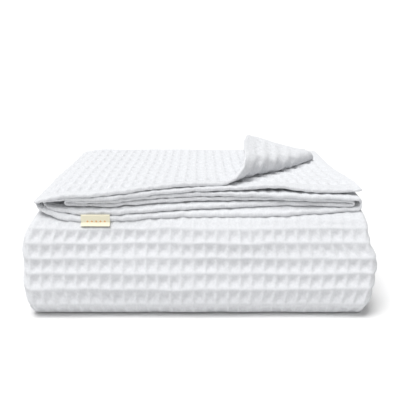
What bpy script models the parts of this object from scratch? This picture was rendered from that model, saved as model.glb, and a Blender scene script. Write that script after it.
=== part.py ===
"""A waffle weave cotton blanket put away folded, with its small woven label.

The blanket is folded across its width into a strip of six plies, and the strip is
then turned back and forth into a low bolster. The first turn wraps the whole front,
and the last length of the strip lies on top with its hems to the front and its free
corner peeled back."""

import bpy
import numpy as np

SHEET = 0.0027  # thickness of the cloth, over the ridges of the weave
PITCH = 0.0034  # from one ply to the next
PLIES = 6
HALF = (PLIES - 1) / 2 * PITCH + SHEET / 2  # half the thickness of the strip
LEVEL = PLIES * PITCH  # from one length of the strip to the next

LEFT_TIP = -0.2035  # outer fold of the strip, at its left edge
RIGHT_TIP = 0.1960  # outer fold at its right edge
LEFT_NEST = 0.0075  # the second fold on the left sits this far inside the first
LEFT_SHORT = 0.0390  # and the third this far
RIGHT_NEST = 0.0060
FREE_HEM = 0.1780  # the top ply ends here
NEXT_HEM = 0.1960  # and the ply beneath it here

# Places across the strip where the hems change height, as x and a share of the puff.
# x, share
PUFF = [
    (-0.2000, 0.00),
    (-0.1600, 0.62),
    (-0.1000, 0.92),
    (-0.0018, 1.00),
    (0.1000, 0.95),
    (0.1600, 0.70),
    (0.2000, 0.00),
]
CLEAR_OF_FOLD = 0.0080  # a change this near a fold is left out

HEM_Y = -0.0480  # front hem of the top length
HEM_PUFF = 0.62  # the hems are thicker than the cloth by this share
HEM_REACH = 0.1000  # and settle to it over this distance
SHIFT_REACH = 0.1600  # while the plies settle over each other over this one
TOP_ROWS = 12
ROW = 0.0108  # spacing of the rows along the top length
COLUMNS = 14
COLUMN = 0.0114  # spacing of the columns across the free corner

# The plies' hems at the front of the top length: how far back each lies from HEM_Y, at
# the left, in the middle and at the right, and how far each is lifted there.
# ply, back_left, back_mid, back_right, lift_left, lift_mid, lift_right
HEMS = [
    (0, -0.0140, 0.0020, 0.0140, 0.0000, 0.0010, 0.0024),
    (1, -0.0120, -0.0020, 0.0010, 0.0000, 0.0006, 0.0020),
    (2, -0.0095, -0.0035, -0.0050, 0.0000, 0.0002, 0.0002),
    (3, -0.0090, -0.0045, -0.0030, 0.0000, 0.0000, 0.0000),
    (4, -0.0140, -0.0110, -0.0045, 0.0000, 0.0000, 0.0000),
    (5, -0.0190, -0.0160, -0.0075, 0.0000, 0.0000, 0.0000),
]

# Outer face of the front wrap, from the top length's bed round to the floor.
# y, z
WRAP = [
    (0.0000, 0.1217),
    (-0.0280, 0.1195),
    (-0.0500, 0.1142),
    (-0.0665, 0.1060),
    (-0.0775, 0.0950),
    (-0.0870, 0.0805),
    (-0.0965, 0.0640),
    (-0.1055, 0.0480),
    (-0.1120, 0.0345),
    (-0.1150, 0.0235),
    (-0.1143, 0.0125),
    (-0.1078, 0.0037),
    (-0.0945, 0.0000),
]

# The turns of the strip inside the bolster: where each turn's centre lies in y.
BACK_TOP = 0.1180  # top length down into the wrap's upper run
BACK_LOW = 0.1150  # floor run up
FRONT_LOW = -0.0480
LOOP = 0.0360  # height of this loose turn, which fills out the wrap
LOOP_SETTLED = -0.0150  # where the strip lies level again above it
BACK_MID = 0.1100
FRONT_MID = -0.0100
INNER_HEM = 0.1000  # the strip's other hem, inside at the back

# Width of the strip at even steps along each run of its length, as a share.
# run, share at each step
WIDTHS = [
    ("top", 1.000, 0.945, 0.915, 0.888, 0.864),
    ("bed", 0.864, 0.940, 0.985),
    ("wrap", 0.985, 0.990, 1.032, 1.062, 1.046, 0.990),
    ("floor", 0.990, 0.980, 0.960),
    ("low", 0.955, 0.975, 0.970),
    ("middle", 0.975, 0.985, 0.960),
    ("upper", 0.960, 0.980, 0.975),
    ("end", 0.970, 0.975, 0.965),
]

PEEL_AT = (0.0264, -0.0345)  # a point on the line the free corner is folded along
PEEL_ALONG = (0.7420, 0.6700)
PEEL_RADIUS = 0.0095
PEEL_TURN = 172.0  # degrees

LABEL_WIDTH = 0.0350
LABEL_REACH = 0.0074  # how far its foot lies in front of the hem
LABEL_THICK = 0.0008
LABEL_X = -0.1280
GAP = 0.0004  # between the label and the cloth
CREASE = np.radians(50)  # edges sharper than this are drawn sharp


def clear():
    """Empty the scene."""
    for item in list(bpy.data.objects):
        bpy.data.objects.remove(item)


def turn(centre, radius, start, end, count):
    """Points inside an arc, its two ends left to the straights that it joins."""
    angle = np.radians(np.linspace(start, end, count + 2)[1:-1])
    return centre + radius * np.stack([np.cos(angle), np.sin(angle)], axis=1)


def level(ply):
    """Height of a ply in the strip, from the middle of the strip."""
    return ((PLIES - 1) / 2 - ply) * PITCH


def flat_run(start, end, ply):
    """Points of one ply, from side to side, one at each place the hems change."""
    low, high = min(start, end) + CLEAR_OF_FOLD, max(start, end) - CLEAR_OF_FOLD
    inner = [x for x, _ in PUFF if low < x < high]
    across = np.array([start, *sorted(inner, reverse=start > end), end])
    return np.stack([across, np.full(len(across), level(ply))], axis=1)


def mitred(line):
    """Left normals of a line, lengthened at its corners so that a parallel line keeps
    its distance."""
    ahead = np.diff(line, axis=0)
    ahead /= np.linalg.norm(ahead, axis=1)[:, None]
    along = np.vstack([ahead[:1], ahead[1:] + ahead[:-1], ahead[-1:]])
    along /= np.linalg.norm(along, axis=1)[:, None]
    normal = np.stack([-along[:, 1], along[:, 0]], axis=1)
    bend = np.ones(len(line))
    bend[1:-1] = np.sqrt((1 + (ahead[1:] * ahead[:-1]).sum(axis=1)) / 2)
    return normal / bend[:, None]


def section():
    """The folded strip seen end on: middle line, its left normals, and the point count
    of the free top ply."""
    columns = FREE_HEM - COLUMN * np.arange(COLUMNS + 1)
    outer_left = np.array([LEFT_TIP + 2.5 * PITCH, 0.0])
    fine = np.stack([columns, np.full(len(columns), level(0))], axis=1)
    top = np.concatenate([fine, flat_run(columns[-1], outer_left[0], 0)[1:]])
    outer_right = np.array([RIGHT_TIP - 1.5 * PITCH, -PITCH])
    short_left = np.array([LEFT_TIP + LEFT_SHORT, 0.0])
    inner_right = np.array([outer_right[0] - RIGHT_NEST, -PITCH])
    inner_left = np.array([outer_left[0] + LEFT_NEST, 0.0])
    line = np.concatenate([
        top,
        turn(outer_left, 2.5 * PITCH, 90, 270, 3),
        flat_run(outer_left[0], outer_right[0], 5),
        turn(outer_right, 1.5 * PITCH, -90, 90, 3),
        flat_run(outer_right[0], short_left[0], 2),
        turn(short_left, 0.5 * PITCH, 90, 270, 2),
        flat_run(short_left[0], inner_right[0], 3),
        turn(inner_right, 0.5 * PITCH, 90, -90, 2),
        flat_run(inner_right[0], inner_left[0], 4),
        turn(inner_left, 1.5 * PITCH, 270, 90, 3),
        flat_run(inner_left[0], NEXT_HEM, 1),
    ])
    return line, mitred(line), len(top)


def smooth(points, count):
    """A curve through the points, evenly spaced, with its left normals."""
    points = np.asarray(points)
    steps = np.concatenate([[0], np.cumsum(np.linalg.norm(np.diff(points, axis=0), axis=1))])
    slope = np.gradient(points, steps, axis=0)
    slope[0] = slope[-1] = 0
    slope[0, 0] = -1
    slope[-1, 0] = 1
    at = np.linspace(0, steps[-1], count)
    piece = np.clip(np.searchsorted(steps, at, side="right") - 1, 0, len(points) - 2)
    span = (steps[piece + 1] - steps[piece])[:, None]
    t = ((at - steps[piece]) / span[:, 0])[:, None]
    curve = (
        (2 * t**3 - 3 * t**2 + 1) * points[piece]
        + (t**3 - 2 * t**2 + t) * span * slope[piece]
        + (3 * t**2 - 2 * t**3) * points[piece + 1]
        + (t**3 - t**2) * span * slope[piece + 1]
    )
    along = (
        (6 * t**2 - 6 * t) * points[piece] / span
        + (3 * t**2 - 4 * t + 1) * slope[piece]
        + (6 * t - 6 * t**2) * points[piece + 1] / span
        + (3 * t**2 - 2 * t) * slope[piece + 1]
    )
    along /= np.linalg.norm(along, axis=1)[:, None]
    return curve, np.stack([-along[:, 1], along[:, 0]], axis=1)


def straight(start, end, height, count):
    """Stations along a level run, with their left normals."""
    y = np.linspace(start, end, count)
    side = np.sign(end - start)
    points = np.stack([y, np.full(count, height)], axis=1)
    return points, np.tile([0.0, side], (count, 1))


def bed_height(y):
    """Height of the wrap's upper face, which the top length lies on."""
    curve, _ = smooth(WRAP, 80)
    upper = curve[: np.argmin(curve[:, 0])][::-1]
    return np.interp(y, upper[:, 0], upper[:, 1])


def height_of(run_number):
    """Middle of the strip's run, counted from the floor."""
    return HALF + run_number * LEVEL


def half_turn(y, low, high, side, count=3):
    """Stations inside a half turn that climbs between two heights. side is +1 at the
    back and -1 at the front."""
    angle = np.radians(np.linspace(-90, 90, count + 2)[1:-1])
    out = np.stack([side * np.cos(angle), np.sin(angle)], axis=1)
    return np.array([y, (low + high) / 2]) + (high - low) / 2 * out, -side * out


def settling(loop_top):
    """The run that slopes down off the loose turn and then lies level."""
    line = np.array([
        (FRONT_LOW, loop_top),
        (LOOP_SETTLED, height_of(2)),
        (BACK_MID, height_of(2)),
    ])
    up = mitred(line)
    up[0] = up[-1] = (0.0, 1.0)
    return line, up


def stations():
    """Middle line of the strip along its length: points, left normals, width shares,
    and each station's distance from the front hem, measured on the top length."""
    shares = {name: share for name, *share in WIDTHS}
    wrap, inward = smooth(WRAP, 13)
    down = half_turn(BACK_TOP, height_of(5), height_of(6), 1)
    bed = straight(BACK_TOP, WRAP[0][0], height_of(5), 3)
    loop_top = height_of(1) + LOOP
    rows = HEM_Y + ROW * np.arange(TOP_ROWS + 1)
    top_y = np.concatenate([rows, np.linspace(rows[-1], BACK_TOP, 4)[1:]])
    top = np.stack([top_y, bed_height(top_y) + PITCH - SHEET + HALF], axis=1)
    up = np.tile([0.0, 1.0], (len(top_y), 1))
    pieces = [
        ("top", (top, up)),
        (None, (down[0][::-1], -down[1][::-1])),
        ("bed", (bed[0][:-1], bed[1][:-1])),
        ("wrap", (wrap + inward * HALF, inward)),
        ("floor", tuple(part[1:] for part in straight(WRAP[-1][0], BACK_LOW, HALF, 3))),
        (None, half_turn(BACK_LOW, height_of(0), height_of(1), 1)),
        ("low", straight(BACK_LOW, FRONT_LOW, height_of(1), 3)),
        (None, half_turn(FRONT_LOW, height_of(1), loop_top, -1)),
        ("middle", settling(loop_top)),
        (None, half_turn(BACK_MID, height_of(2), height_of(3), 1)),
        ("upper", straight(BACK_MID, FRONT_MID, height_of(3), 3)),
        (None, half_turn(FRONT_MID, height_of(3), height_of(4), -1)),
        ("end", straight(FRONT_MID, INNER_HEM, height_of(4), 3)),
    ]
    known, share, count = [], [], 0
    for name, (points, _) in pieces:
        if name:
            at = np.linspace(0, len(shares[name]) - 1, len(points))
            known += list(range(count, count + len(points)))
            share += list(np.interp(at, np.arange(len(shares[name])), shares[name]))
        count += len(points)
    width = np.interp(np.arange(count), known, share)
    middle = np.concatenate([piece[1][0] for piece in pieces])
    normal = np.concatenate([piece[1][1] for piece in pieces])
    from_hem = np.full(count, 1.0)
    from_hem[: len(top_y)] = top_y - HEM_Y
    return middle, normal, width, from_hem


def hem_shift(ply, x):
    """How far back and how far up a hem lies, for a ply number and a place across."""
    table = np.array(HEMS)
    at = np.clip((x - LEFT_TIP) / (RIGHT_TIP - LEFT_TIP), 0, 1) * 2
    lower = np.clip(np.floor(ply), 0, PLIES - 2).astype(int)
    part = np.clip(ply - lower, 0, 1)[:, None]
    row = table[lower] * (1 - part) + table[lower + 1] * part
    weights = np.stack([np.clip(1 - abs(at - k), 0, 1) for k in range(3)], axis=1)
    return (row[:, 1:4] * weights).sum(axis=1), (row[:, 4:7] * weights).sum(axis=1)


def peel(points, rise):
    """Fold the free corner back over its line. rise is each point's distance above the
    middle of the ply."""
    along = np.array(PEEL_ALONG) / np.linalg.norm(PEEL_ALONG)
    out = np.array([along[1], -along[0]])
    beyond = (points[:, :2] - PEEL_AT) @ out
    angle = np.clip(beyond / PEEL_RADIUS, 0, np.radians(PEEL_TURN))
    rest = np.clip(beyond - PEEL_RADIUS * np.radians(PEEL_TURN), 0, None)
    reach = (PEEL_RADIUS - rise) * np.sin(angle) + rest * np.cos(angle)
    lift = PEEL_RADIUS - (PEEL_RADIUS - rise) * np.cos(angle) + rest * np.sin(angle) - rise
    folded = beyond > 0
    shift = np.where(folded, reach - beyond, 0)
    points[:, :2] += shift[:, None] * out
    points[:, 2] += np.where(folded, lift, 0)
    return points


def blanket():
    """Sweep the folded section along the strip's path and close it at both hems."""
    line, normal, free = section()
    middle, up, width, from_hem = stations()
    rings = []
    for centre, lean, share, distance in zip(middle, up, width, from_hem):
        sides = []
        for side in (1, -1):
            flat = line + side * SHEET / 2 * normal
            x = flat[:, 0] * share
            height = flat[:, 1].copy()
            ply = (PLIES - 1) / 2 - line[:, 1] / PITCH
            fade = np.clip(1 - distance / HEM_REACH, 0, 1) ** 2
            puff = HEM_PUFF * fade * np.interp(flat[:, 0], *np.transpose(PUFF))
            height += (height + HALF) * puff
            ring = np.stack([x, centre[0] + lean[0] * height, centre[1] + lean[1] * height], axis=1)
            if distance < 1:
                back, lift = hem_shift(ply, x)
                slow = np.clip(1 - distance / SHIFT_REACH, 0, 1)
                fall = bed_height(ring[:, 1] + back * slow) - bed_height(ring[:, 1])
                ring[:, 1] += back * slow
                ring[:, 2] += lift * slow + fall
                rise = -side * SHEET / 2 * (1 + puff[:free])
                ring[:free] = peel(ring[:free], rise)
            sides.append(ring)
        rings.append(np.concatenate([sides[0], sides[1][::-1]]))
    return mesh_of(np.array(rings), len(line))


def label():
    """A tab that hangs from the lowest ply's front hem on to the wrap below it."""
    edges = LABEL_X + LABEL_WIDTH / 2 * np.array([-1, 1])
    back, _ = hem_shift(np.full(2, PLIES - 1.0), edges)
    face = HEM_Y + back.min() - GAP
    puff = 1 + HEM_PUFF * np.interp(LABEL_X, *np.transpose(PUFF))
    top = bed_height(face) + PITCH - SHEET + SHEET * puff
    ahead = face - np.linspace(0, LABEL_REACH, 6)
    slope = np.stack([ahead, bed_height(ahead) + 1.6 * GAP], axis=1)
    line = np.concatenate([[[face, top]], slope])
    outer = line - mitred(line) * LABEL_THICK
    profile = np.concatenate([line, outer[::-1]])
    count = len(profile)
    points = [(x, y, z) for x in edges for y, z in profile]
    faces = [[*range(count)], [*range(2 * count - 1, count - 1, -1)]]
    for i in range(count):
        j = (i + 1) % count
        faces.append([j, i, i + count, j + count])
    return np.array(points), faces


def mesh_of(rings, half):
    """Triangles of the swept ribbon, with a strip of quads over each end."""
    count, size, _ = rings.shape
    index = np.arange(count * size).reshape(count, size)
    faces = []
    for s in range(count - 1):
        for m in range(size):
            a, b = index[s, m], index[s, (m + 1) % size]
            c, d = index[s + 1, (m + 1) % size], index[s + 1, m]
            faces += [(a, b, d), (b, c, d)] if m < half else [(a, b, c), (a, c, d)]
    for m in range(half - 1):
        a, b = index[0, m], index[0, m + 1]
        c, d = index[0, size - 2 - m], index[0, size - 1 - m]
        faces += [(a, c, b), (a, d, c)]
        a, b = index[-1, m], index[-1, m + 1]
        c, d = index[-1, size - 2 - m], index[-1, size - 1 - m]
        faces += [(a, b, c), (a, c, d)]
    return rings.reshape(-1, 3), faces


def make_object(name, points, faces, colour, roughness):
    """An object with its own plain material."""
    mesh = bpy.data.meshes.new(name)
    mesh.from_pydata([tuple(p) for p in points], [], [tuple(int(i) for i in f) for f in faces])
    mesh.shade_smooth()
    mesh.set_sharp_from_angle(angle=CREASE)
    item = bpy.data.objects.new(name, mesh)
    bpy.context.scene.collection.objects.link(item)
    material = bpy.data.materials.new(name)
    material.use_nodes = True
    shader = material.node_tree.nodes["Principled BSDF"]
    shader.inputs["Base Color"].default_value = (*colour, 1)
    shader.inputs["Roughness"].default_value = roughness
    mesh.materials.append(material)
    return item


def main():
    clear()
    points, faces = blanket()
    low, high = points.min(axis=0), points.max(axis=0)
    centre = np.array([(low[0] + high[0]) / 2, (low[1] + high[1]) / 2, low[2]])
    make_object("blanket", points - centre, faces, (0.83, 0.84, 0.86), 0.95)
    points, faces = label()
    make_object("label", points - centre, faces, (0.93, 0.88, 0.72), 0.60)


main()
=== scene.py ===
"""A folded waffle weave cotton blanket on a pale table, as a Blender add-on.

The cloth is one sheet. Across its width it is folded into a strip of six plies, and
the strip is turned back and forth along its length. Every point of the sheet is placed
by the same two paths, so each part of it below is a stretch of the one cloth, cut where
the cut can't be seen."""

import bpy
import numpy as np
from bpy.props import FloatProperty, FloatVectorProperty, PointerProperty
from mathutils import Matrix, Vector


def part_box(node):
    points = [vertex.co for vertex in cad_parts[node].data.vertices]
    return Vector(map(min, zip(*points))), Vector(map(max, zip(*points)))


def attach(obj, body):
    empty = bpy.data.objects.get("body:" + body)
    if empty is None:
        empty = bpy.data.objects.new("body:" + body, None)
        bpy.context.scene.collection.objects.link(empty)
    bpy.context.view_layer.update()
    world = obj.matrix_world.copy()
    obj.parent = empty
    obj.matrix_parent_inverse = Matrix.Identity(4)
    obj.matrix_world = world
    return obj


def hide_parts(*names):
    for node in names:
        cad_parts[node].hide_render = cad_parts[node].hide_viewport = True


bl_info = {
    "name": "Folded waffle blanket",
    "version": (1, 0, 0),
    "blender": (4, 5, 0),
    "location": "View3D > Sidebar > Blanket",
    "description": "Builds a folded waffle weave blanket, its label and a plain stage",
    "category": "Add Mesh",
}

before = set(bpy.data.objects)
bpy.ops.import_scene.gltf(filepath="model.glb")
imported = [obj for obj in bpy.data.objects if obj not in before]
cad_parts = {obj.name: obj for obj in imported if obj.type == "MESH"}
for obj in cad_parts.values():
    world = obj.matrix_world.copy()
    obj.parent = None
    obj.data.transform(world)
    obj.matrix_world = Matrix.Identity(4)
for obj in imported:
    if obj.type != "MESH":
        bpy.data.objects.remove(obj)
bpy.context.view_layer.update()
CLOTH_HIGH = np.array(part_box("blanket")[1])
LABEL_LOW, LABEL_HIGH = (np.array(corner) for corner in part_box("label"))

SHEET = 0.0027
PITCH = 0.0034
PLIES = 6
HALF = (PLIES - 1) / 2 * PITCH + SHEET / 2
LEVEL = PLIES * PITCH

LEFT_TIP = -0.2035
RIGHT_TIP = 0.1960
LEFT_NEST = 0.0075
LEFT_SHORT = 0.0390
RIGHT_NEST = 0.0060
FREE_HEM = 0.1780
NEXT_HEM = 0.1960
HEM_Y = -0.0480
HEM_PUFF = 0.62
HEM_REACH = 0.1000
SHIFT_REACH = 0.1600

# Share of the hems' puff at places across the strip.
# x, share
PUFF = (
    (-0.2000, 0.55),
    (-0.1600, 0.75),
    (-0.1000, 0.92),
    (-0.0018, 1.00),
    (0.1000, 0.95),
    (0.1600, 0.70),
    (0.2000, 0.15),
)

# The top length thins towards its creased left edge.
WEDGE_SHARE = 0.70
WEDGE_REACH = 0.0400

# How far back each ply's front hem lies, from left to right.
HEM_X = (-0.2050, -0.1750, -0.1450, -0.1100, -0.0600, 0.0000, 0.0500, 0.1000, 0.1450, 0.1800)
HEM_BACK = (
    (-0.0140, -0.0140, -0.0145, -0.0120, -0.0055, 0.0015, 0.0060, 0.0065, 0.0095, 0.0165),
    (-0.0105, -0.0125, -0.0135, -0.0130, -0.0080, -0.0025, 0.0015, 0.0010, -0.0010, 0.0020),
    (-0.0085, -0.0095, -0.0105, -0.0110, -0.0065, -0.0035, -0.0030, -0.0055, -0.0060, -0.0045),
    (-0.0050, -0.0075, -0.0095, -0.0105, -0.0075, -0.0045, -0.0025, -0.0020, -0.0030, -0.0030),
    (-0.0070, -0.0130, -0.0165, -0.0165, -0.0140, -0.0110, -0.0075, -0.0040, -0.0040, -0.0045),
    (-0.0110, -0.0180, -0.0205, -0.0200, -0.0175, -0.0160, -0.0155, -0.0145, -0.0105, -0.0065),
)
# The second ply's hem stands up in a short wave.
WAVE_X = 0.0880
WAVE_REACH = 0.0260
WAVE_LIFT = 0.0026
# Its free corner stands up a little too.
CORNER_X = 0.1600
CORNER_LIFT = 0.0050
# The top ply sinks on to it before it turns up into the roll.
PEEL_SINK = 0.0022
# How far the loose, crumpled cloth reaches from the free corner.
LOOSE_REACH = 0.1300
# How much flatter the weave is drawn where a side fold turns.
FOLD_CALM = 0.55
# The wrap is pressed smooth under the top length, as far as this along it.
PRESSED = 0.0640
# Where the cloth is drawn smooth over the roll's end, as lengths across and along.
SMOOTH_AT = (0.0150, 0.1150)
SMOOTH_REACH = (0.0300, 0.0320)

# Outer face of the front wrap, from the top length's bed round to the table.
# y, z
WRAP = (
    (0.0000, 0.1217),
    (-0.0280, 0.1195),
    (-0.0500, 0.1142),
    (-0.0665, 0.1060),
    (-0.0775, 0.0950),
    (-0.0870, 0.0805),
    (-0.0965, 0.0640),
    (-0.1055, 0.0480),
    (-0.1120, 0.0345),
    (-0.1150, 0.0235),
    (-0.1143, 0.0125),
    (-0.1078, 0.0037),
    (-0.0945, 0.0000),
)
BACK_TOP = 0.1180
BACK_LOW = 0.1150
FRONT_LOW = -0.0480
LOOP = 0.0360
SLOPE_DEGREES = 28.0
SLOPE_RADIUS = 0.0240
BACK_MID = 0.1100
FRONT_MID = -0.0100
INNER_HEM = 0.1000

# Width of the strip at even steps along each run of its length, as a share.
# run, share at each step
WIDTHS = (
    ("top", 1.000, 0.945, 0.915, 0.888, 0.864),
    ("bed", 0.864, 0.940, 0.985),
    ("wrap", 0.985, 0.990, 1.032, 1.062, 1.046, 0.990),
    ("floor", 0.990, 0.980, 0.960),
    ("low", 0.955, 0.975, 0.970),
    ("middle", 0.975, 0.985, 0.960),
    ("upper", 0.960, 0.980, 0.975),
    ("end", 0.970, 0.975, 0.965),
)

PEEL_AT = (0.0264, -0.0345)
PEEL_ALONG = (0.7420, 0.6700)
LABEL_X = -0.1280

SHIFT = np.array([
    (LABEL_LOW[0] + LABEL_HIGH[0]) / 2 - LABEL_X,
    CLOTH_HIGH[1] - (BACK_TOP + LEVEL / 2 + HALF),
    0.0,
])


# ---------------------------------------------------------------- sizes and colours


class ClothSizes(bpy.types.PropertyGroup):
    """The weave, its hems and its colour."""

    cell_across: FloatProperty(
        name="Cell across", description="Width of one waffle cell", default=0.0133, unit="LENGTH"
    )
    cell_along: FloatProperty(
        name="Cell along", description="Length of one waffle cell", default=0.0182, unit="LENGTH"
    )
    row_start: FloatProperty(
        name="Row start", description="Where the first row of cells starts", default=0.0047,
        unit="LENGTH",
    )
    ridge: FloatProperty(
        name="Ridge", description="Height of the ridges above the middle of the cloth",
        default=0.0019, unit="LENGTH",
    )
    depth: FloatProperty(
        name="Cell depth", description="From the ridges to the bottom of a cell",
        default=0.0031, unit="LENGTH",
    )
    hem: FloatProperty(
        name="Hem thickness", description="Half the thickness of the turned hems",
        default=0.0015, unit="LENGTH",
    )
    hem_band: FloatProperty(
        name="Hem", description="Width of the plain band along the hems", default=0.0090,
        unit="LENGTH",
    )
    side_band: FloatProperty(
        name="Side hem", description="Width of the plain band along the free side edges",
        default=0.0070, unit="LENGTH",
    )
    peel_front: FloatProperty(
        name="Peel radius, front", description="Radius of the peeled corner's roll at the hem",
        default=0.0160, unit="LENGTH",
    )
    peel_side: FloatProperty(
        name="Peel radius, side", description="Radius of the roll at the side edge",
        default=0.0065, unit="LENGTH",
    )
    peel_turn: FloatProperty(
        name="Peel turn", description="How far the corner is turned over",
        default=np.radians(172.0), subtype="ANGLE",
    )
    colour: FloatVectorProperty(
        name="Cotton", description="Colour of the cotton", default=(0.735, 0.745, 0.765),
        subtype="COLOR", size=3, min=0.0, max=1.0,
    )
    shade: FloatVectorProperty(
        name="Shade", description="Colour of its slightly darker yarns",
        default=(0.660, 0.671, 0.693), subtype="COLOR", size=3, min=0.0, max=1.0,
    )


class LabelSizes(bpy.types.PropertyGroup):
    """The woven tab."""

    thickness: FloatProperty(
        name="Thickness", description="Thickness of the tape", default=0.0008, unit="LENGTH"
    )
    reach: FloatProperty(
        name="Reach", description="How far its foot lies in front of the hem", default=0.0040,
        unit="LENGTH",
    )
    ground: FloatVectorProperty(
        name="Tape", description="Colour of the tape", default=(0.90, 0.85, 0.66),
        subtype="COLOR", size=3, min=0.0, max=1.0,
    )
    motif: FloatVectorProperty(
        name="Motif", description="Colour of the small woven diamonds",
        default=(0.85, 0.48, 0.20), subtype="COLOR", size=3, min=0.0, max=1.0,
    )


class StageSizes(bpy.types.PropertyGroup):
    """The table, the light and the camera."""

    distance: FloatProperty(
        name="Distance", description="From the camera to the middle of the blanket",
        default=0.750, unit="LENGTH",
    )
    height: FloatProperty(
        name="Height", description="Height of the camera", default=0.387, unit="LENGTH"
    )
    sideways: FloatProperty(
        name="Sideways", description="How far the camera stands to the right", default=0.0020,
        unit="LENGTH",
    )
    tilt: FloatProperty(
        name="Tilt", description="How far the camera looks down", default=np.radians(20.75),
        subtype="ANGLE",
    )
    lens: FloatProperty(name="Lens", description="Focal length in millimetres", default=54.0)
    floor: FloatVectorProperty(
        name="Floor", description="Colour of the table", default=(0.85, 0.85, 0.85),
        subtype="COLOR", size=3, min=0.0, max=1.0,
    )
    sun: FloatProperty(name="Sun", description="Strength of the soft sun", default=3.20)
    sky: FloatProperty(name="Sky", description="Strength of the white surroundings", default=0.33)
    softness: FloatProperty(
        name="Softness", description="How wide the soft sun is", default=np.radians(42.0),
        subtype="ANGLE",
    )
    from_above: FloatProperty(
        name="Sun tilt", description="How far the sun stands from straight above",
        default=np.radians(12.0), subtype="ANGLE",
    )
    from_side: FloatProperty(
        name="Sun side", description="Which side the sun stands on, 0 being the front",
        default=np.radians(-75.0), subtype="ANGLE",
    )
    fill: FloatProperty(name="Fill", description="Strength of the weaker front sun", default=0.22)
    fill_tilt: FloatProperty(
        name="Fill tilt", description="How far the front sun stands from straight above",
        default=np.radians(50.0), subtype="ANGLE",
    )
    fill_side: FloatProperty(
        name="Fill side", description="Which side the front sun stands on, 0 being the front",
        default=np.radians(-15.0), subtype="ANGLE",
    )


# ---------------------------------------------------------------- the two paths


def trace(start, heading, steps):
    """A path of straight runs and round turns, as rows of x, y, heading and length.

    A run moves on along the heading. A turn of radius r through an angle a follows the
    circle whose centre is r to the left (r to the right where a is negative): the point
    moves by r sin a ahead and r (1 - cos a) to the side, and its length is r times a."""
    rows = [(start[0], start[1], heading, 0.0)]
    marks = [0.0]
    for step in steps:
        x, y, angle, length = rows[-1]
        if step[0] == "run":
            far = step[1]
            rows.append((x + far * np.cos(angle), y + far * np.sin(angle), angle, length + far))
        else:
            radius, bend = step[1], np.radians(step[2])
            part = np.linspace(0, 1, 61)[1:] * bend
            side = np.sign(bend)
            middle = np.array([x - side * radius * np.sin(angle), y + side * radius * np.cos(angle)])
            ax = middle[0] + side * radius * np.sin(angle + part)
            ay = middle[1] - side * radius * np.cos(angle + part)
            rows += list(zip(ax, ay, angle + part, length + radius * abs(part)))
        marks.append(rows[-1][3])
    return np.array(rows), marks


def level(ply):
    """Height of a ply in the strip: (2.5 - ply) pitches above its middle."""
    return ((PLIES - 1) / 2 - ply) * PITCH


def section_path():
    """The folded strip seen end on, from the top ply's free hem inwards."""
    left = LEFT_TIP + 2.5 * PITCH
    right = RIGHT_TIP - 1.5 * PITCH
    short = LEFT_TIP + LEFT_SHORT
    return trace((FREE_HEM, level(0)), np.pi, [
        ("run", FREE_HEM - left),
        ("turn", 2.5 * PITCH, 180),
        ("run", right - left),
        ("turn", 1.5 * PITCH, 180),
        ("run", right - short),
        ("turn", 0.5 * PITCH, 180),
        ("run", right - RIGHT_NEST - short),
        ("turn", 0.5 * PITCH, -180),
        ("run", right - RIGHT_NEST - left - LEFT_NEST),
        ("turn", 1.5 * PITCH, -180),
        ("run", NEXT_HEM - left - LEFT_NEST),
    ])


def smooth(points, count):
    """A curve through the points: cubic pieces whose slopes are the centred differences,
    level at both ends. Returns the points and their headings."""
    points = np.array(points)
    steps = np.concatenate([[0], np.cumsum(np.linalg.norm(np.diff(points, axis=0), axis=1))])
    slope = np.gradient(points, steps, axis=0)
    slope[0], slope[-1] = (-1, 0), (1, 0)
    at = np.linspace(0, steps[-1], count)
    piece = np.clip(np.searchsorted(steps, at, side="right") - 1, 0, len(points) - 2)
    span = (steps[piece + 1] - steps[piece])[:, None]
    t = ((at - steps[piece]) / span[:, 0])[:, None]
    p, q, a, b = points[piece], points[piece + 1], slope[piece] * span, slope[piece + 1] * span
    curve = (2 * t**3 - 3 * t**2 + 1) * p + (t**3 - 2 * t**2 + t) * a
    curve += (3 * t**2 - 2 * t**3) * q + (t**3 - t**2) * b
    ahead = (6 * t**2 - 6 * t) * (p - q) + (3 * t**2 - 4 * t + 1) * a + (3 * t**2 - 2 * t) * b
    return curve, np.unwrap(np.arctan2(ahead[:, 1], ahead[:, 0]) % (2 * np.pi))


BED_CURVE = smooth(WRAP, 400)[0]
BED_CURVE = BED_CURVE[: np.argmin(BED_CURVE[:, 0])][::-1]


def bed_height(y):
    """Height of the wrap's upper face under the top length."""
    return np.interp(y, BED_CURVE[:, 0], BED_CURVE[:, 1])


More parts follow.
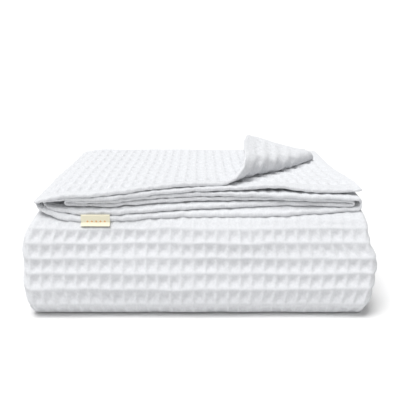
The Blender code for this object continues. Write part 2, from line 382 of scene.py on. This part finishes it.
def length_path():
    """The strip seen from its end, from the front hem on top to the hem inside: rows of
    y, z, heading and length, and the length at which each named run starts and ends.

    The top length keeps heading 0, so its plies stand straight above its bed. The wrap's
    middle line is its outer curve moved inwards by half the strip's thickness."""
    y = np.linspace(HEM_Y, BACK_TOP, 120)
    z = bed_height(y) + PITCH - SHEET + HALF
    far = np.concatenate([[0], np.cumsum(np.hypot(np.diff(y), np.diff(z)))])
    top = np.stack([y, z, np.zeros(len(y)), far], axis=1)
    back, back_marks = trace((BACK_TOP, z[-1]), 0.0, [
        ("turn", LEVEL / 2, -180),
        ("run", BACK_TOP - WRAP[0][0]),
    ])
    curve, heading = smooth(WRAP, 240)
    inward = np.stack([-np.sin(heading), np.cos(heading)], axis=1)
    curve = curve + inward * HALF
    far = np.concatenate([[0], np.cumsum(np.linalg.norm(np.diff(curve, axis=0), axis=1))])
    wrap = np.column_stack([curve, heading - 2 * np.pi, far])
    slope = np.radians(SLOPE_DEGREES)
    drop = LOOP - LEVEL - 2 * SLOPE_RADIUS * (1 - np.cos(slope))
    run_down = drop / np.sin(slope)
    settled = FRONT_LOW + 2 * SLOPE_RADIUS * np.sin(slope) + run_down * np.cos(slope)
    rest, rest_marks = trace((WRAP[-1][0], HALF), 0.0, [
        ("run", BACK_LOW - WRAP[-1][0]),
        ("turn", LEVEL / 2, 180),
        ("run", BACK_LOW - FRONT_LOW),
        ("turn", LOOP / 2, -180),
        ("turn", SLOPE_RADIUS, -SLOPE_DEGREES),
        ("run", run_down),
        ("turn", SLOPE_RADIUS, SLOPE_DEGREES),
        ("run", BACK_MID - settled),
        ("turn", LEVEL / 2, 180),
        ("run", BACK_MID - FRONT_MID),
        ("turn", LEVEL / 2, -180),
        ("run", INNER_HEM - FRONT_MID),
    ])
    rows, starts, total = [], [], 0.0
    for part in (top, back, wrap, rest):
        starts.append(total)
        rows.append(part + (0, 0, 0, total))
        total += part[-1, 3]
    b, w, r = starts[1:]
    spans = {
        "top": (0.0, b),
        "bed": (b + back_marks[1], b + back_marks[2]),
        "wrap": (w, r),
        "floor": (r, r + rest_marks[1]),
        "low": (r + rest_marks[2], r + rest_marks[3]),
        "middle": (r + rest_marks[4], r + rest_marks[8]),
        "upper": (r + rest_marks[9], r + rest_marks[10]),
        "end": (r + rest_marks[11], r + rest_marks[12]),
    }
    return np.concatenate(rows), spans


SECTION, PLY_MARKS = section_path()
LENGTH, RUNS = length_path()
WIDTH_AT = [at for name, *shares in WIDTHS for at in np.linspace(*RUNS[name], len(shares))]
WIDTH_SHARE = [share for _, *shares in WIDTHS for share in shares]
WHOLE_WIDTH = PLY_MARKS[-1]
WHOLE_LENGTH = LENGTH[-1, 3]
# Where each ply starts and ends along the section: A is the top ply, B the one beneath.
PLY = dict(zip("AFCDEB", zip(PLY_MARKS[0::2], PLY_MARKS[1::2])))


# ---------------------------------------------------------------- the surface


def wander(a, b, seed, waves=7):
    """Soft uneven noise between about -1 and 1: a sum of sine waves of random direction,
    wavelength from 0.7 to 2.2 and phase, all drawn from one seed."""
    draw = np.random.default_rng(seed)
    total = np.zeros(np.broadcast(a, b).shape)
    for _ in range(waves):
        angle, wave, phase = draw.uniform(0, np.pi), draw.uniform(0.7, 2.2), draw.uniform(0, 6.28)
        total += np.sin((a * np.cos(angle) + b * np.sin(angle)) * 2 * np.pi / wave + phase)
    return total / waves * 1.6


def wall(near, foot, top):
    """A cell's profile from its middle (0) to its side (1): a flat bottom as far as the
    foot, an even wall up to the top, and a narrow rounded ridge."""
    rise = np.clip((near - foot) / (top - foot), 0, 1)
    over = np.clip((near - top) / (1 - top), 0, 1)
    return 0.92 * (rise + 0.06 * np.sin(rise * np.pi)) + 0.08 * np.sin(over * np.pi / 2)


def ridge_height(a, b):
    """Waffle relief from 0 at a cell's bottom to 1 on its ridges, for cell coordinates:
    the higher of the walls along the cloth and, lower, those across it."""
    side = wall(abs(2 * (a - np.floor(a)) - 1), 0.36, 0.88)
    end = wall(abs(2 * (b - np.floor(b)) - 1), 0.24, 0.86)
    return (end**6 + (0.82 * side) ** 6) ** (1 / 6)


def hem_share(distance, band):
    """How much of the weave shows at a distance from a hem: 0 in the band and 1 past it,
    with a short ramp."""
    return np.clip((distance - band) / 0.0025, 0, 1)


def hem_table(rows, ply, x):
    """A value of the hem tables at a ply number and a place across, mixed linearly."""
    table = np.array([np.interp(x, HEM_X, row) for row in rows])
    lower = np.clip(np.floor(ply), 0, PLIES - 2).astype(int)
    part = np.clip(ply - lower, 0, 1)
    near = np.take_along_axis(table, lower[None], axis=0)[0]
    far = np.take_along_axis(table, lower[None] + 1, axis=0)[0]
    return near * (1 - part) + far * part


def peel(points, rise, sizes):
    """Fold the free corner over its line. A point d beyond the line goes round a roll of
    radius r by the angle d / r, up to the full turn, and runs straight on from there:
    it comes to (r - h) sin angle out and r - (r - h) cos angle up, with h its height in
    the cloth. The radius changes evenly from the hem to the side edge."""
    along = np.array(PEEL_ALONG) / np.linalg.norm(PEEL_ALONG)
    out = np.array([along[1], -along[0]])
    from_start = points[..., :2] - PEEL_AT
    beyond = from_start @ out
    part = np.clip(from_start @ along / 0.17, 0, 1)
    radius = sizes.peel_front + (sizes.peel_side - sizes.peel_front) * part
    angle = np.clip(beyond / radius, 0, sizes.peel_turn)
    rest = np.clip(beyond - radius * sizes.peel_turn, 0, None)
    reach = (radius - rise) * np.sin(angle) + rest * np.cos(angle)
    lift = radius - (radius - rise) * np.cos(angle) + rest * np.sin(angle) - rise
    shift = np.where(beyond > 0, reach - beyond, 0)
    points[..., :2] += shift[..., None] * out
    points[..., 2] += np.where(beyond > 0, lift, 0)
    points[..., 2] -= PEEL_SINK * np.clip(1 + beyond / 0.03, 0, 1) ** 2


def uneven(points):
    """Bend all of space a little, so that plies move together: each axis is shifted by
    soft noise in the other two, less towards the table."""
    x, y, z = np.moveaxis(points, -1, 0)
    up = np.clip(z / 0.12, 0, 1)
    dx = 0.0022 * wander(y / 0.11, z / 0.045, 3) * (abs(x) / 0.2) ** 2
    dy = 0.0020 * wander(x / 0.16, z / 0.07, 5) * np.clip(z / 0.02, 0, 1)
    dz = 0.0016 * wander(x / 0.13, y / 0.10, 8) * up
    return points + np.stack([dx, dy, dz], axis=-1)


def relief(u, v, own_length, turned, side, sizes):
    """Signed height of the sheet's face (side 1) or back (side -1) over its middle.

    Inside the hems it is the weave's: the ridge height less the depth times 1 minus the
    relief, with the back's cells half a cell along from the face's. In the hems it is the
    plain band's, and it falls round a quarter circle to nothing at the very edge. The
    free corner is shallower and crumpled, and a side fold draws the weave flatter."""
    a = u / sizes.cell_across
    b = (own_length - sizes.row_start) / sizes.cell_along
    woven = hem_share(np.minimum(own_length, WHOLE_LENGTH - v), sizes.hem_band)
    woven = woven * hem_share(np.minimum(u, WHOLE_WIDTH - u), sizes.side_band)
    off_u, off_v = (u - SMOOTH_AT[0]) / SMOOTH_REACH[0], (v - SMOOTH_AT[1]) / SMOOTH_REACH[1]
    woven = woven * (1 - 0.85 * np.exp(-((off_u**2 + off_v**2) ** 2)))
    under_top = np.clip((v - RUNS["wrap"][0] - PRESSED) / 0.010, 0, 1)
    woven = np.where(v < RUNS["bed"][0], woven, woven * (0.15 + 0.85 * under_top))
    depth = sizes.depth * (1 + 0.16 * wander(a / 2.5, b / 2.5, 13))
    band = sizes.hem - 0.0005 * np.exp(-(((own_length - sizes.hem_band + 0.002) / 0.0008) ** 2))
    band = band + 0.00028 * wander(u / 0.009, v / 0.009, 14) + 0.00018 * np.cos(2 * np.pi * a)
    edge = np.minimum(np.minimum(u, WHOLE_WIDTH - u), np.minimum(v, WHOLE_LENGTH - v))
    rounding = np.sqrt(1 - np.clip(1 - (edge + 0.00005) / 0.0016, 0, 1) ** 2)
    face = sizes.ridge - depth * (1 - ridge_height(a, b))
    under = sizes.ridge - 0.90 * depth * (1 - ridge_height(a + 0.5, b + 0.5))
    under = np.maximum(under, 0.0005 - face)
    height = face if side > 0 else under
    loose = np.exp(-((u / LOOSE_REACH) ** 2) - (v / LOOSE_REACH) ** 2)
    crumple = 0.0004 * wander(u / 0.010, v / 0.010, 15)
    crumple = crumple + 0.0006 * wander(u / 0.006, v / 0.007, 16)
    height = height * (1 - (0.35 if side > 0 else 0.45) * loose) + side * crumple * loose
    height = sizes.hem + (height - sizes.hem) * (1 - FOLD_CALM * np.sin(turned) ** 2)
    return side * rounding * (band * (1 - woven) + height * woven)


def place(u, v, side, sizes):
    """Where the sheet's face (side 1) or back (side -1) lies, for lengths u across the
    cloth and v along it.

    The weave's cells count along u and along v less n times the heading, which is the
    ply's own length round the turns. The relief gives the height h above the sheet's
    middle. The section gives x and n for u, the path gives y and z for v, and the point
    is (x, y, z) plus h along the section's normal, with n measured along the path's
    normal. The puff, the shifts of the hems and the peel are added to that."""
    calm = np.clip(np.minimum(v, WHOLE_LENGTH - v) / 0.02, 0, 1)
    calm = calm * np.clip(np.minimum(u, WHOLE_WIDTH - u) / 0.02, 0, 1)
    at_u = u + 0.0007 * calm * wander(u / 0.040, v / 0.035, 11)
    at_v = v + 0.0010 * calm * wander(u / 0.050, v / 0.045, 12)
    x = np.interp(at_u, SECTION[:, 3], SECTION[:, 0])
    n = np.interp(at_u, SECTION[:, 3], SECTION[:, 1])
    turned = np.interp(at_u, SECTION[:, 3], SECTION[:, 2])
    y = np.interp(at_v, LENGTH[:, 3], LENGTH[:, 0])
    z = np.interp(at_v, LENGTH[:, 3], LENGTH[:, 1])
    heading = np.interp(at_v, LENGTH[:, 3], LENGTH[:, 2])
    share = np.interp(at_v, WIDTH_AT, WIDTH_SHARE)
    own_length = v - np.interp(u, SECTION[:, 3], SECTION[:, 1]) * np.interp(
        v, LENGTH[:, 3], LENGTH[:, 2]
    )
    normal_x, normal_n = np.sin(turned), -np.cos(turned)
    a = u / sizes.cell_across
    h = relief(u, v, own_length, turned, side, sizes)
    fade = np.clip(1 - v / HEM_REACH, 0, 1) ** 2
    puff = HEM_PUFF * fade * np.interp(x, *np.transpose(PUFF))
    across = (x + normal_x * h) * share
    slim = WEDGE_SHARE * np.clip(1 - (x - LEFT_TIP) / WEDGE_REACH, 0, 1) ** 1.6
    slim = slim * np.clip((RUNS["bed"][0] - v) / (RUNS["bed"][0] - RUNS["top"][1]), 0, 1)
    up = n * (1 - slim) + normal_n * h
    up = up + (up + HALF) * puff
    points = np.stack([across, y - np.sin(heading) * up, z + np.cos(heading) * up], axis=-1)
    on_top = v < RUNS["top"][1]
    ply = np.clip((PLIES - 1) / 2 - n / PITCH, 0, PLIES - 1)
    slow = np.clip(1 - v / SHIFT_REACH, 0, 1) * on_top
    ripple = 0.0007 * wander(x / 0.022, ply * 3.7, 21) + 0.0003 * np.cos(2 * np.pi * a)
    ripple = ripple + 0.0004 * wander(x / 0.009, ply * 5.1, 22)
    ripple = ripple * np.clip(1 - v / 0.03, 0, 1)
    back = hem_table(HEM_BACK, ply, x) * slow + ripple
    wave = np.exp(-(((x - WAVE_X) / WAVE_REACH) ** 2)) * np.clip(1 - abs(ply - 1), 0, 1)
    corner = np.clip((x - CORNER_X) / (NEXT_HEM - CORNER_X), 0, 1) ** 2 * (abs(ply - 1) < 0.5)
    lift = WAVE_LIFT * wave * np.clip(1 - v / 0.05, 0, 1) ** 2
    lift = lift + CORNER_LIFT * corner * np.clip(1 - v / 0.14, 0, 1)
    fall = bed_height(points[..., 1] + back) - bed_height(points[..., 1])
    points[..., 1] += back
    points[..., 2] += lift + fall * on_top
    free = on_top & (u < PLY["A"][1] - 0.05)
    turned_over = points[free]
    peel(turned_over, (normal_n * h * (1 + puff))[free], sizes)
    points[free] = turned_over
    points = uneven(points) + SHIFT
    points[..., 2] = np.maximum(points[..., 2], 0.0002)
    return points


def spaced(start, stop, step):
    """Places from start to stop about a step apart, both ends included."""
    return np.linspace(start, stop, max(2, int(round((stop - start) / step)) + 1))


def joined(*parts):
    """Several stretches of places made one, in order and with none twice."""
    places = np.unique(np.round(np.concatenate(parts), 7))
    return places[np.append(True, np.diff(places) > 2e-6)]


EDGE = np.array([0.0, 0.0002, 0.0006, 0.0012])
ACROSS_CELL = np.array([0.0, 0.07, 0.15, 0.32, 0.50, 0.68, 0.85, 0.93])
ALONG_CELL = np.array([0.0, 0.05, 0.11, 0.22, 0.36, 0.50, 0.64, 0.78, 0.89, 0.95])


def cell_places(start, stop, cell, parts):
    """Places between two lengths at the same few parts of every cell, so that each ridge
    keeps its rows of points."""
    count = np.arange(np.floor(start / cell), np.ceil(stop / cell))
    places = ((count[:, None] + parts) * cell).ravel()
    inside = places[(places > start + 0.0004) & (places < stop - 0.0004)]
    return np.concatenate([[start], inside, [stop]])


def cell_rows(start, stop, n, sizes):
    """The same along the cloth, for a ply at n from the middle of the strip: its own
    length is that of the path less n times the heading."""
    own = LENGTH[:, 3] - n * LENGTH[:, 2]
    own = own - sizes.row_start
    first, last = (np.interp(place_at, LENGTH[:, 3], own) for place_at in (start, stop))
    return np.interp(cell_places(first, last, sizes.cell_along, ALONG_CELL), own, LENGTH[:, 3])


def closed_grid(name, front, back):
    """A closed mesh from two grids of points, front and back of a sheet, with strips of
    faces between them round the border."""
    rows, columns, _ = front.shape
    size = rows * columns
    points = np.concatenate([front.reshape(-1, 3), back.reshape(-1, 3)])
    index = np.arange(size).reshape(rows, columns)
    a, b, c, d = index[:-1, :-1], index[1:, :-1], index[1:, 1:], index[:-1, 1:]
    face = np.stack([a, d, c, b], axis=-1).reshape(-1, 4)
    rim = np.concatenate([index[0, :], index[1:, -1], index[-1, -2::-1], index[-2:0:-1, 0]])
    after = np.roll(rim, -1)
    strip = np.stack([rim, after, after + size, rim + size], axis=-1)[:, ::-1]
    quads = np.concatenate([face, face[:, ::-1] + size, strip])
    mesh = bpy.data.meshes.new(name)
    mesh.vertices.add(len(points))
    mesh.vertices.foreach_set("co", points.astype(np.float32).ravel())
    mesh.loops.add(quads.size)
    mesh.loops.foreach_set("vertex_index", quads.astype(np.int32).ravel())
    mesh.polygons.add(len(quads))
    mesh.polygons.foreach_set("loop_start", np.arange(0, quads.size, 4, dtype=np.int32))
    mesh.update(calc_edges=True)
    mesh.validate()
    mesh.shade_smooth()
    piece = bpy.data.objects.new(name, mesh)
    bpy.context.scene.collection.objects.link(piece)
    return piece, quads


def write_map(piece, quads, flat):
    """A UV map that holds each point's place in the flat cloth, in metres."""
    layer = piece.data.uv_layers.new(name="flat")
    layer.data.foreach_set("uv", flat[quads.ravel()].astype(np.float32).ravel())


def cloth(name, across, along, sizes):
    """One stretch of the sheet, from its places across and along, with a map that holds
    the place in the flat cloth that it covers."""
    u, v = np.meshgrid(across, along, indexing="ij")
    piece, quads = closed_grid(name, place(u, v, 1, sizes), place(u, v, -1, sizes))
    flat = np.stack([u.ravel(), v.ravel()], axis=-1)
    write_map(piece, quads, np.concatenate([flat, flat]))
    piece.data.materials.append(cotton(sizes))
    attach(piece, "root")
    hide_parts("blanket")
    return piece


# ---------------------------------------------------------------- materials


def new_material(name):
    """A material with nodes, and its shader."""
    material = bpy.data.materials.new(name)
    material.use_nodes = True
    return material, material.node_tree, material.node_tree.nodes["Principled BSDF"]


def math_node(tree, operation, first, second=None):
    """A math node on two inputs, which are sockets or numbers."""
    node = tree.nodes.new("ShaderNodeMath")
    node.operation = operation
    for socket, value in zip(node.inputs, (first, second)):
        if isinstance(value, (int, float)):
            socket.default_value = value
        elif value is not None:
            tree.links.new(value, socket)
    return node.outputs[0]


def cotton(sizes):
    """White cotton: fine crossed yarns as bump and a slight change of colour, on the
    flat cloth's own map."""
    if "cotton" in bpy.data.materials:
        return bpy.data.materials["cotton"]
    material, tree, shader = new_material("cotton")
    shader.inputs["Roughness"].default_value = 0.92
    shader.inputs["Specular IOR Level"].default_value = 0.25
    shader.inputs["Sheen Weight"].default_value = 0.25
    shader.inputs["Sheen Roughness"].default_value = 0.6
    flat = tree.nodes.new("ShaderNodeUVMap")
    flat.uv_map = "flat"
    split = tree.nodes.new("ShaderNodeSeparateXYZ")
    tree.links.new(flat.outputs["UV"], split.inputs[0])
    yarn = 2 * np.pi / 0.0011
    warp = math_node(tree, "SINE", math_node(tree, "MULTIPLY", split.outputs["X"], yarn))
    weft = math_node(tree, "SINE", math_node(tree, "MULTIPLY", split.outputs["Y"], yarn))
    crossed = math_node(tree, "MULTIPLY", warp, weft)
    fuzz = tree.nodes.new("ShaderNodeTexNoise")
    fuzz.inputs["Scale"].default_value = 1400.0
    fuzz.inputs["Detail"].default_value = 3.0
    tree.links.new(flat.outputs["UV"], fuzz.inputs["Vector"])
    rough = math_node(tree, "ADD", math_node(tree, "MULTIPLY", crossed, 0.5), fuzz.outputs["Fac"])
    bump = tree.nodes.new("ShaderNodeBump")
    bump.inputs["Strength"].default_value = 0.50
    bump.inputs["Distance"].default_value = 0.0004
    tree.links.new(rough, bump.inputs["Height"])
    tree.links.new(bump.outputs["Normal"], shader.inputs["Normal"])
    cloud = tree.nodes.new("ShaderNodeTexNoise")
    cloud.inputs["Scale"].default_value = 420.0
    cloud.inputs["Detail"].default_value = 4.0
    tree.links.new(flat.outputs["UV"], cloud.inputs["Vector"])
    ramp = tree.nodes.new("ShaderNodeValToRGB")
    ramp.color_ramp.elements[0].position = 0.30
    ramp.color_ramp.elements[0].color = (*sizes.shade, 1)
    ramp.color_ramp.elements[1].position = 0.62
    ramp.color_ramp.elements[1].color = (*sizes.colour, 1)
    tree.links.new(cloud.outputs["Fac"], ramp.inputs["Fac"])
    tree.links.new(ramp.outputs["Color"], shader.inputs["Base Color"])
    return material


def tape(sizes):
    """Cream woven tape with a row of small diamonds, on its own map in metres."""
    material, tree, shader = new_material("woven tape")
    shader.inputs["Roughness"].default_value = 0.6
    flat = tree.nodes.new("ShaderNodeUVMap")
    flat.uv_map = "flat"
    split = tree.nodes.new("ShaderNodeSeparateXYZ")
    tree.links.new(flat.outputs["UV"], split.inputs[0])
    repeat = math_node(tree, "FRACT", math_node(tree, "DIVIDE", split.outputs["X"], 0.0052))
    across = math_node(tree, "ABSOLUTE", math_node(tree, "SUBTRACT", repeat, 0.5))
    up = math_node(tree, "DIVIDE", math_node(tree, "SUBTRACT", split.outputs["Y"], 0.0068), 0.0062)
    diamond = math_node(tree, "ADD", across, math_node(tree, "ABSOLUTE", up))
    inside = math_node(tree, "LESS_THAN", diamond, 0.34)
    middle = math_node(tree, "ABSOLUTE", math_node(tree, "SUBTRACT", split.outputs["X"], 0.0175))
    marked = math_node(tree, "MULTIPLY", inside, math_node(tree, "LESS_THAN", middle, 0.0130))
    mix = tree.nodes.new("ShaderNodeMix")
    mix.data_type = "RGBA"
    mix.inputs[6].default_value = (*sizes.ground, 1)
    mix.inputs[7].default_value = (*sizes.motif, 1)
    tree.links.new(marked, mix.inputs[0])
    tree.links.new(mix.outputs[2], shader.inputs["Base Color"])
    rib = math_node(tree, "SINE", math_node(tree, "MULTIPLY", split.outputs["X"], 2 * np.pi / 0.0005))
    bump = tree.nodes.new("ShaderNodeBump")
    bump.inputs["Strength"].default_value = 0.3
    bump.inputs["Distance"].default_value = 0.0001
    tree.links.new(rib, bump.inputs["Height"])
    tree.links.new(bump.outputs["Normal"], shader.inputs["Normal"])
    return material


def plain_floor(colour):
    """A matt pale table top."""
    material, _, shader = new_material("pale table")
    shader.inputs["Base Color"].default_value = (*colour, 1)
    shader.inputs["Roughness"].default_value = 0.9
    return material


# ---------------------------------------------------------------- the pieces


class BLANKET_OT_top_ply(bpy.types.Operator):
    """Lay the top ply, with its left fold, its peeled corner and its turn at the back"""

    bl_idname = "blanket.top_ply"
    bl_label = "Top ply"

    def execute(self, context):
        sizes = context.scene.blanket_cloth
        across = joined(EDGE, cell_places(0.0018, PLY["F"][0], sizes.cell_across, ACROSS_CELL))
        along = joined(EDGE, cell_rows(0.0018, RUNS["bed"][0], level(0), sizes))
        cloth("top_ply", across, along, sizes)
        return {"FINISHED"}


class BLANKET_OT_front_wrap(bpy.types.Operator):
    """Wrap the outer ply round the front, under the stack and up its back"""

    bl_idname = "blanket.front_wrap"
    bl_label = "Front wrap"

    def execute(self, context):
        sizes = context.scene.blanket_cloth
        across = cell_places(PLY["A"][1], PLY["C"][0], sizes.cell_across, ACROSS_CELL)
        along = joined(
            spaced(*RUNS["bed"], 0.010),
            cell_rows(*RUNS["wrap"], level(5), sizes),
            spaced(*RUNS["floor"], 0.008),
            spaced(RUNS["floor"][1], RUNS["low"][0], 0.0024),
        )
        cloth("front_wrap", across, along, sizes)
        return {"FINISHED"}


def hem_and_run(fine_to, coarse):
    """Places along the top length: fine from the hem to fine_to, coarser behind, and
    fine again round the turn at the back."""
    return joined(
        EDGE,
        spaced(0.0015, fine_to, 0.0024),
        spaced(fine_to, RUNS["top"][1], coarse),
        spaced(RUNS["top"][1], RUNS["bed"][0], 0.0030),
    )


def ply_places(names, fine, coarse, near_fold=0.030):
    """Places across some plies: fine near and round their folds, coarse between."""
    parts = []
    for name in names:
        start, end = PLY[name]
        parts += [
            spaced(start, start + near_fold, fine),
            spaced(start + near_fold, end - near_fold, coarse),
            spaced(end - near_fold, end, fine),
        ]
    order = "AFCDEB"
    for name, after in zip(order, order[1:]):
        if name in names and after in names:
            parts.append(spaced(PLY[name][1], PLY[after][0], 0.0012))
    return joined(*parts)


class BLANKET_OT_second_ply(bpy.types.Operator):
    """Lay the ply under the top one, whose corner shows"""

    bl_idname = "blanket.second_ply"
    bl_label = "Second ply"

    def execute(self, context):
        sizes = context.scene.blanket_cloth
        start, end = PLY["B"]
        across = joined(
            spaced(start, end - 0.2, 0.0033),
            cell_places(end - 0.2, end - 0.0018, sizes.cell_across, ACROSS_CELL),
            end - EDGE,
        )
        along = joined(
            EDGE,
            cell_rows(0.0018, 0.150, level(1), sizes),
            spaced(0.150, RUNS["top"][1], 0.0040),
            spaced(RUNS["top"][1], RUNS["bed"][0], 0.0030),
        )
        cloth("second_ply", across, along, sizes)
        return {"FINISHED"}


class BLANKET_OT_lower_plies(bpy.types.Operator):
    """Lay the four lower plies of the top length, which show at their hems"""

    bl_idname = "blanket.lower_plies"
    bl_label = "Lower plies"

    def execute(self, context):
        sizes = context.scene.blanket_cloth
        across = joined(
            ply_places("FCDE", 0.0026, 0.0026),
            spaced(PLY["E"][1], PLY["B"][0], 0.0012),
        )
        cloth("lower_plies", across, hem_and_run(0.024, 0.0120), sizes)
        return {"FINISHED"}


class BLANKET_OT_wrap_plies(bpy.types.Operator):
    """Lay the plies inside the front wrap, which show at the two sides"""

    bl_idname = "blanket.wrap_plies"
    bl_label = "Plies inside the wrap"

    def execute(self, context):
        sizes = context.scene.blanket_cloth
        along = joined(
            spaced(*RUNS["bed"], 0.008),
            spaced(*RUNS["wrap"], 0.0045),
            spaced(*RUNS["floor"], 0.008),
            spaced(RUNS["floor"][1], RUNS["low"][0], 0.0030),
        )
        cloth("wrap_plies", joined(ply_places("CDEB", 0.0033, 0.020), WHOLE_WIDTH - EDGE), along, sizes)
        cloth("wrap_lining_ply", joined(EDGE, ply_places("A", 0.0033, 0.020)), along, sizes)
        return {"FINISHED"}


class BLANKET_OT_inner_lengths(bpy.types.Operator):
    """Lay the lengths inside the bolster, which show at the back and the sides"""

    bl_idname = "blanket.inner_lengths"
    bl_label = "Inner lengths"

    def execute(self, context):
        sizes = context.scene.blanket_cloth
        low, middle, upper, end = (RUNS[name] for name in ("low", "middle", "upper", "end"))
        along = joined(
            spaced(*low, 0.010),
            spaced(low[1], middle[0], 0.0050),
            spaced(middle[0], middle[0] + 0.05, 0.0060),
            spaced(middle[0] + 0.05, middle[1], 0.010),
            spaced(middle[1], upper[0], 0.0030),
            spaced(*upper, 0.010),
            spaced(upper[1], end[0], 0.0045),
            spaced(*end, 0.010),
        )
        inner = joined(EDGE, ply_places("A", 0.0033, 0.020), spaced(PLY["A"][1], PLY["F"][0], 0.0015))
        outer = ply_places("F", 0.0033, 0.0033)
        rest = joined(
            spaced(PLY["F"][1], PLY["C"][0], 0.0012),
            ply_places("CDEB", 0.0033, 0.020),
            WHOLE_WIDTH - EDGE,
        )
        cloth("inner_lengths", joined(inner, outer, rest), along, sizes)
        return {"FINISHED"}


class BLANKET_OT_label(bpy.types.Operator):
    """Sew the woven tab to the lowest hem"""

    bl_idname = "blanket.label"
    bl_label = "Label"

    def execute(self, context):
        sizes = context.scene.blanket_label
        x = np.linspace(LABEL_LOW[0], LABEL_HIGH[0], 37)
        under = np.interp(x - SHIFT[0], HEM_X, HEM_BACK[-1]).min()
        hem = HEM_Y + under - 0.0008
        ahead = hem - np.linspace(0, sizes.reach, 14)
        foot = bed_height(ahead) + 0.0008
        down = np.linspace(LABEL_HIGH[2] + 0.0042, foot[0], 8)[:-1]
        y = np.concatenate([np.full(len(down), hem), ahead])
        z = np.concatenate([down, foot])
        far = np.concatenate([[0], np.cumsum(np.hypot(np.diff(y), np.diff(z)))])
        slope = np.arctan2(np.gradient(z, far), np.gradient(y, far))
        out_y, out_z = np.sin(slope), -np.cos(slope)
        across, along = np.meshgrid(x, far, indexing="ij")
        curl = 0.0005 * (along / far[-1]) ** 2 * wander(across / 0.012, along / 0.02, 31)
        sides = []
        for lift in (0.0002 + sizes.thickness, 0.0002):
            away = lift + curl + 0.0004
            sides.append(np.stack([across, y + SHIFT[1] + out_y * away, z + out_z * away], axis=-1))
        piece, quads = closed_grid("label_tab", sides[1], sides[0])
        flat = np.stack([(across - x[0]).ravel(), (far[-1] - along).ravel()], axis=-1)
        write_map(piece, quads, np.concatenate([flat, flat]))
        piece.data.materials.append(tape(sizes))
        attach(piece, "root")
        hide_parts("label")
        return {"FINISHED"}


class BLANKET_OT_stage(bpy.types.Operator):
    """Set up the table, the light and the camera"""

    bl_idname = "blanket.stage"
    bl_label = "Stage"

    def execute(self, context):
        sizes = context.scene.blanket_stage
        bpy.ops.mesh.primitive_plane_add(size=60.0)
        floor = context.object
        floor.name = "table_top"
        floor.data.materials.append(plain_floor(sizes.floor))
        self.sun("overhead_sun", sizes.sun, sizes.from_above, sizes.from_side)
        self.sun("front_fill", sizes.fill, sizes.fill_tilt, sizes.fill_side)
        world = context.scene.world or bpy.data.worlds.new("studio")
        context.scene.world = world
        world.use_nodes = True
        background = world.node_tree.nodes["Background"]
        background.inputs["Color"].default_value = (1.0, 1.0, 1.0, 1)
        background.inputs["Strength"].default_value = sizes.sky
        context.scene.view_settings.view_transform = "Standard"
        lens = bpy.data.cameras.new("camera")
        lens.lens = sizes.lens
        lens.clip_start = 0.01
        camera = bpy.data.objects.new("camera", lens)
        camera.location = (sizes.sideways, -sizes.distance, sizes.height)
        camera.rotation_euler = (np.pi / 2 - sizes.tilt, 0.0, 0.0)
        context.scene.collection.objects.link(camera)
        context.scene.camera = camera
        return {"FINISHED"}

    def sun(self, name, strength, tilt, side):
        """A broad soft sun, tilted from straight above towards a side."""
        lamp = bpy.data.lights.new(name, "SUN")
        lamp.energy = strength
        lamp.angle = bpy.context.scene.blanket_stage.softness
        holder = bpy.data.objects.new(name, lamp)
        holder.rotation_euler = (tilt, 0.0, side)
        bpy.context.scene.collection.objects.link(holder)


class BLANKET_PT_panel(bpy.types.Panel):
    """The pieces of the blanket, in the order they are made"""

    bl_label = "Folded blanket"
    bl_space_type = "VIEW_3D"
    bl_region_type = "UI"
    bl_category = "Blanket"

    def draw(self, context):
        for group in ("blanket_cloth", "blanket_label", "blanket_stage"):
            box = self.layout.box()
            settings = getattr(context.scene, group)
            for name in settings.bl_rna.properties.keys():
                if name not in ("rna_type", "name"):
                    box.prop(settings, name)
        for operator in OPERATORS:
            self.layout.operator(operator.bl_idname)


GROUPS = (ClothSizes, LabelSizes, StageSizes)
OPERATORS = (
    BLANKET_OT_top_ply,
    BLANKET_OT_front_wrap,
    BLANKET_OT_second_ply,
    BLANKET_OT_lower_plies,
    BLANKET_OT_wrap_plies,
    BLANKET_OT_inner_lengths,
    BLANKET_OT_label,
    BLANKET_OT_stage,
)


def register():
    """Register the classes and hang the settings on the scene."""
    for group in (*GROUPS, *OPERATORS, BLANKET_PT_panel):
        bpy.utils.register_class(group)
    bpy.types.Scene.blanket_cloth = PointerProperty(type=ClothSizes)
    bpy.types.Scene.blanket_label = PointerProperty(type=LabelSizes)
    bpy.types.Scene.blanket_stage = PointerProperty(type=StageSizes)


def unregister():
    """Take the settings and the classes away again."""
    del bpy.types.Scene.blanket_stage
    del bpy.types.Scene.blanket_label
    del bpy.types.Scene.blanket_cloth
    for group in reversed((*GROUPS, *OPERATORS, BLANKET_PT_panel)):
        bpy.utils.unregister_class(group)


def main():
    """Make every piece and the stage."""
    register()
    bpy.ops.blanket.top_ply()
    bpy.ops.blanket.front_wrap()
    bpy.ops.blanket.second_ply()
    bpy.ops.blanket.lower_plies()
    bpy.ops.blanket.wrap_plies()
    bpy.ops.blanket.inner_lengths()
    bpy.ops.blanket.label()
    bpy.ops.blanket.stage()


if __name__ == "__main__":
    main()
